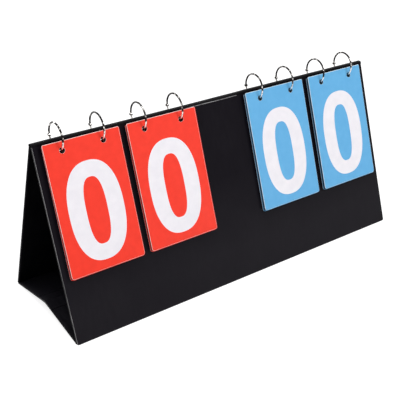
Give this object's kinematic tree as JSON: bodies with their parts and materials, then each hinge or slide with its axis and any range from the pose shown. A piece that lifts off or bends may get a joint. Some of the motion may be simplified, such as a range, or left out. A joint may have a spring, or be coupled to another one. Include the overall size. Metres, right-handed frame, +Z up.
{
  "type": "tabletop flip scoreboard",
  "caption": "Tent-shaped flip scoreboard: a vinyl case that folds flat, with red and blue number cards on hinged binder rings.",
  "frame": {"origin": "on the floor below the middle of the tent, at the bottom centre of the part's box", "axes": "+X along the case, left to right as read from the front; -Y towards the reader; +Z up"},
  "size_m": [0.392, 0.1232, 0.1853],
  "materials": {
    "outer_vinyl": "fine-grained semi-matt vinyl",
    "inner_vinyl": "matt vinyl",
    "strip_vinyl": "welded vinyl hinge strip",
    "board": "grey board",
    "red_card": "satin printed plastic sheet",
    "blue_card": "satin printed plastic sheet",
    "ring": "bright nickel plate",
    "rivet": "nickel-plated rivet"
  },
  "bodies": {
    "front_panel": {"front_panel_cover": "outer_vinyl", "front_panel_board": "board", "front_panel_liner": "inner_vinyl", "front_foot_strip": "strip_vinyl", "top_spine_strip": "strip_vinyl", "red_tens_card_1": "red_card", "red_tens_cards_2_to_9": "red_card", "red_units_card_1": "red_card", "red_units_cards_2_to_9": "red_card", "blue_tens_card_1": "blue_card", "blue_tens_cards_2_to_9": "blue_card", "blue_units_card_1": "blue_card", "blue_units_cards_2_to_9": "blue_card"},
    "rear_panel": {"rear_panel_cover": "outer_vinyl", "rear_panel_board": "board", "rear_panel_liner": "inner_vinyl", "rear_foot_strip": "strip_vinyl"},
    "front_base": {"front_base_cover": "outer_vinyl", "front_base_board": "board", "front_base_liner": "inner_vinyl", "front_ridge_strip": "strip_vinyl"},
    "rear_base": {"rear_base_cover": "outer_vinyl", "rear_base_board": "board", "rear_base_liner": "inner_vinyl", "rear_ridge_strip": "strip_vinyl"},
    "red_tens_ring_left": {"red_tens_ring_left": "ring", "red_tens_rivet_left": "rivet"},
    "red_tens_ring_right": {"red_tens_ring_right": "ring", "red_tens_rivet_right": "rivet"},
    "red_tens_gate_left": {"red_tens_gate_left": "ring"},
    "red_tens_gate_right": {"red_tens_gate_right": "ring"},
    "red_tens_card_0": {"red_tens_card_0": "red_card"},
    "red_units_ring_left": {"red_units_ring_left": "ring", "red_units_rivet_left": "rivet"},
    "red_units_ring_right": {"red_units_ring_right": "ring", "red_units_rivet_right": "rivet"},
    "red_units_gate_left": {"red_units_gate_left": "ring"},
    "red_units_gate_right": {"red_units_gate_right": "ring"},
    "red_units_card_0": {"red_units_card_0": "red_card"},
    "blue_tens_ring_left": {"blue_tens_ring_left": "ring", "blue_tens_rivet_left": "rivet"},
    "blue_tens_ring_right": {"blue_tens_ring_right": "ring", "blue_tens_rivet_right": "rivet"},
    "blue_tens_gate_left": {"blue_tens_gate_left": "ring"},
    "blue_tens_gate_right": {"blue_tens_gate_right": "ring"},
    "blue_tens_card_0": {"blue_tens_card_0": "blue_card"},
    "blue_units_ring_left": {"blue_units_ring_left": "ring", "blue_units_rivet_left": "rivet"},
    "blue_units_ring_right": {"blue_units_ring_right": "ring", "blue_units_rivet_right": "rivet"},
    "blue_units_gate_left": {"blue_units_gate_left": "ring"},
    "blue_units_gate_right": {"blue_units_gate_right": "ring"},
    "blue_units_card_0": {"blue_units_card_0": "blue_card"}
  },
  "joints": [
    {"name": "case_fold", "type": "hinge", "parent": "front_panel", "child": "rear_panel", "pos_m": [0, 0, 0.16929], "axis": [-1, 0, 0], "range_deg": [0, 33.45], "deforming": ["top_spine_strip"]},
    {"name": "front_base_fold", "type": "hinge", "parent": "front_panel", "child": "front_base", "pos_m": [0, -0.05816, 0.0025], "axis": [1, 0, 0], "range_deg": [0, 60.12], "deforming": ["front_foot_strip", "front_ridge_strip"]},
    {"name": "rear_base_fold", "type": "hinge", "parent": "rear_panel", "child": "rear_base", "pos_m": [0, 0.05816, 0.0025], "axis": [-1, 0, 0], "range_deg": [0, 60.12], "deforming": ["rear_foot_strip", "rear_ridge_strip"]},
    {"name": "red_tens_flip", "type": "hinge", "parent": "front_panel", "child": "red_tens_ring_left", "pos_m": [-0.1716, 0, 0.17173], "axis": [-1, 0, 0], "range_deg": [0, 281.66]},
    {"name": "red_tens_card_swing", "type": "hinge", "parent": "red_tens_ring_left", "child": "red_tens_card_0", "pos_m": [-0.1716, -0.00958, 0.1634], "axis": [-1, 0, 0], "range_deg": [0, 39.36]},
    {"name": "red_tens_ring_right_turn", "type": "hinge", "parent": "front_panel", "child": "red_tens_ring_right", "pos_m": [-0.1316, 0, 0.17173], "axis": [-1, 0, 0], "range_deg": [0, 281.68]},
    {"name": "red_tens_gate_left_open", "type": "hinge", "parent": "red_tens_ring_left", "child": "red_tens_gate_left", "pos_m": [-0.1716, 0.01251, 0.16953], "axis": [-1, 0, 0], "range_deg": [0, 75]},
    {"name": "red_tens_gate_right_open", "type": "hinge", "parent": "red_tens_ring_right", "child": "red_tens_gate_right", "pos_m": [-0.1316, 0.01251, 0.16953], "axis": [-1, 0, 0], "range_deg": [0, 75]},
    {"name": "red_units_flip", "type": "hinge", "parent": "front_panel", "child": "red_units_ring_left", "pos_m": [-0.0889, 0, 0.17173], "axis": [-1, 0, 0], "range_deg": [0, 281.66]},
    {"name": "red_units_card_swing", "type": "hinge", "parent": "red_units_ring_left", "child": "red_units_card_0", "pos_m": [-0.0889, -0.00958, 0.1634], "axis": [-1, 0, 0], "range_deg": [0, 39.36]},
    {"name": "red_units_ring_right_turn", "type": "hinge", "parent": "front_panel", "child": "red_units_ring_right", "pos_m": [-0.0489, 0, 0.17173], "axis": [-1, 0, 0], "range_deg": [0, 281.68]},
    {"name": "red_units_gate_left_open", "type": "hinge", "parent": "red_units_ring_left", "child": "red_units_gate_left", "pos_m": [-0.0889, 0.01251, 0.16953], "axis": [-1, 0, 0], "range_deg": [0, 75]},
    {"name": "red_units_gate_right_open", "type": "hinge", "parent": "red_units_ring_right", "child": "red_units_gate_right", "pos_m": [-0.0489, 0.01251, 0.16953], "axis": [-1, 0, 0], "range_deg": [0, 75]},
    {"name": "blue_tens_flip", "type": "hinge", "parent": "front_panel", "child": "blue_tens_ring_left", "pos_m": [0.0469, 0, 0.17173], "axis": [-1, 0, 0], "range_deg": [0, 281.66]},
    {"name": "blue_tens_card_swing", "type": "hinge", "parent": "blue_tens_ring_left", "child": "blue_tens_card_0", "pos_m": [0.0469, -0.00958, 0.1634], "axis": [-1, 0, 0], "range_deg": [0, 39.36]},
    {"name": "blue_tens_ring_right_turn", "type": "hinge", "parent": "front_panel", "child": "blue_tens_ring_right", "pos_m": [0.0869, 0, 0.17173], "axis": [-1, 0, 0], "range_deg": [0, 281.68]},
    {"name": "blue_tens_gate_left_open", "type": "hinge", "parent": "blue_tens_ring_left", "child": "blue_tens_gate_left", "pos_m": [0.0469, 0.01251, 0.16953], "axis": [-1, 0, 0], "range_deg": [0, 75]},
    {"name": "blue_tens_gate_right_open", "type": "hinge", "parent": "blue_tens_ring_right", "child": "blue_tens_gate_right", "pos_m": [0.0869, 0.01251, 0.16953], "axis": [-1, 0, 0], "range_deg": [0, 75]},
    {"name": "blue_units_flip", "type": "hinge", "parent": "front_panel", "child": "blue_units_ring_left", "pos_m": [0.13, 0, 0.17173], "axis": [-1, 0, 0], "range_deg": [0, 281.66]},
    {"name": "blue_units_card_swing", "type": "hinge", "parent": "blue_units_ring_left", "child": "blue_units_card_0", "pos_m": [0.13, -0.00958, 0.1634], "axis": [-1, 0, 0], "range_deg": [0, 39.36]},
    {"name": "blue_units_ring_right_turn", "type": "hinge", "parent": "front_panel", "child": "blue_units_ring_right", "pos_m": [0.17, 0, 0.17173], "axis": [-1, 0, 0], "range_deg": [0, 281.68]},
    {"name": "blue_units_gate_left_open", "type": "hinge", "parent": "blue_units_ring_left", "child": "blue_units_gate_left", "pos_m": [0.13, 0.01251, 0.16953], "axis": [-1, 0, 0], "range_deg": [0, 75]},
    {"name": "blue_units_gate_right_open", "type": "hinge", "parent": "blue_units_ring_right", "child": "blue_units_gate_right", "pos_m": [0.17, 0.01251, 0.16953], "axis": [-1, 0, 0], "range_deg": [0, 75]}
  ],
  "couplings": [
    {"joint": "front_base_fold", "follows": "case_fold", "ratio": 1.7967},
    {"joint": "rear_base_fold", "follows": "case_fold", "ratio": 1.7967},
    {"joint": "red_tens_card_swing", "follows": "red_tens_flip", "ratio": 0.13967},
    {"joint": "red_tens_ring_right_turn", "follows": "red_tens_flip", "ratio": 1},
    {"joint": "red_units_card_swing", "follows": "red_units_flip", "ratio": 0.13967},
    {"joint": "red_units_ring_right_turn", "follows": "red_units_flip", "ratio": 1},
    {"joint": "blue_tens_card_swing", "follows": "blue_tens_flip", "ratio": 0.13967},
    {"joint": "blue_tens_ring_right_turn", "follows": "blue_tens_flip", "ratio": 1},
    {"joint": "blue_units_card_swing", "follows": "blue_units_flip", "ratio": 0.13967},
    {"joint": "blue_units_ring_right_turn", "follows": "blue_units_flip", "ratio": 1}
  ]
}
